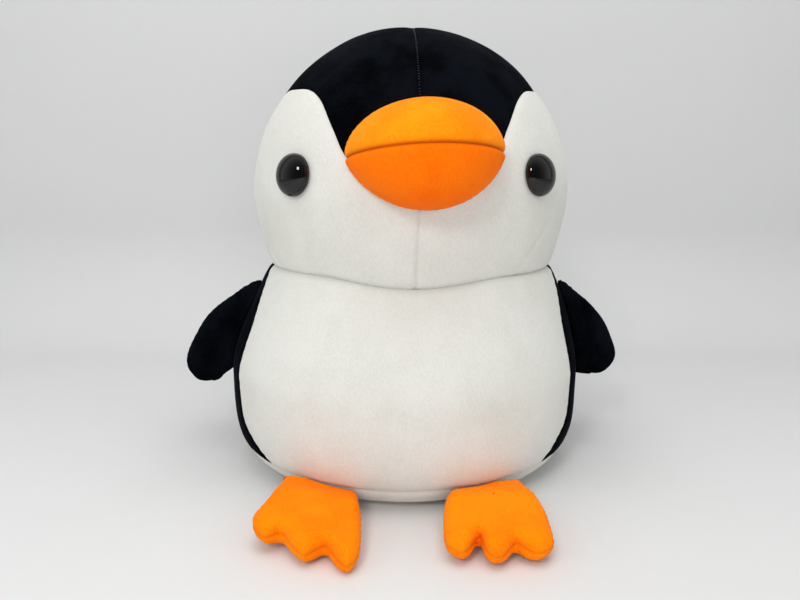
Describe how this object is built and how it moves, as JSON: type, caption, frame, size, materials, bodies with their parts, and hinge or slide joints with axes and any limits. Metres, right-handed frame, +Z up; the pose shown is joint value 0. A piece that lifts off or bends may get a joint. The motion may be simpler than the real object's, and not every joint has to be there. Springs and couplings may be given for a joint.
{
  "type": "plush penguin",
  "caption": "Soft stuffed penguin that sits upright, with a padded beak, domed eyes, and flippers and feet that flop on their seams.",
  "frame": {"origin": "middle of the flat of the base panel, on the surface that the toy sits on", "axes": "+Z up, the face and belly look along -Y, +X is the right-hand side as seen from the front"},
  "size_m": [0.3767, 0.3363, 0.35],
  "materials": {
    "black_plush": "matte",
    "white_plush": "matte",
    "orange_plush": "matte",
    "fibre_filling": "matte",
    "eye_gloss": "gloss",
    "washer_plastic": "matte"
  },
  "bodies": {
    "torso": {"crown_left": "black_plush", "crown_right": "black_plush", "cheek_left": "white_plush", "cheek_right": "white_plush", "beak_upper": "orange_plush", "beak_lower": "orange_plush", "beak_stuffing": "fibre_filling", "eye_left": "eye_gloss", "eye_right": "eye_gloss", "eye_washer_left": "washer_plastic", "eye_washer_right": "washer_plastic", "head_stuffing": "fibre_filling", "belly_panel": "white_plush", "back_left": "black_plush", "back_right": "black_plush", "base_panel": "white_plush", "body_stuffing": "fibre_filling"},
    "wing_left": {"wing_left_front": "black_plush", "wing_left_rear": "black_plush", "wing_left_stuffing": "fibre_filling"},
    "wing_right": {"wing_right_front": "black_plush", "wing_right_rear": "black_plush", "wing_right_stuffing": "fibre_filling"},
    "foot_left": {"foot_left_upper": "orange_plush", "foot_left_sole": "orange_plush", "foot_left_stuffing": "fibre_filling"},
    "foot_right": {"foot_right_upper": "orange_plush", "foot_right_sole": "orange_plush", "foot_right_stuffing": "fibre_filling"}
  },
  "joints": [
    {"name": "wing_left_flap", "type": "hinge", "parent": "torso", "child": "wing_left", "pos_m": [-0.13876, -0.01372, 0.11097], "axis": [0.3564, 0.0333, 0.9337], "range_deg": [-40, 60], "stiffness_Nm_per_rad": 0.15},
    {"name": "wing_right_flap", "type": "hinge", "parent": "torso", "child": "wing_right", "pos_m": [0.14195, -0.01375, 0.11005], "axis": [0.2457, -0.0346, -0.9687], "range_deg": [-40, 60], "stiffness_Nm_per_rad": 0.15},
    {"name": "foot_left_nod", "type": "hinge", "parent": "torso", "child": "foot_left", "pos_m": [-0.05849, -0.12631, 0.019], "axis": [-0.9745, 0.2071, 0.0868], "range_deg": [-45, 30], "stiffness_Nm_per_rad": 0.25},
    {"name": "foot_right_nod", "type": "hinge", "parent": "torso", "child": "foot_right", "pos_m": [0.05849, -0.12631, 0.019], "axis": [-0.9962, -0.0872, 0], "range_deg": [-45, 30], "stiffness_Nm_per_rad": 0.25}
  ]
}
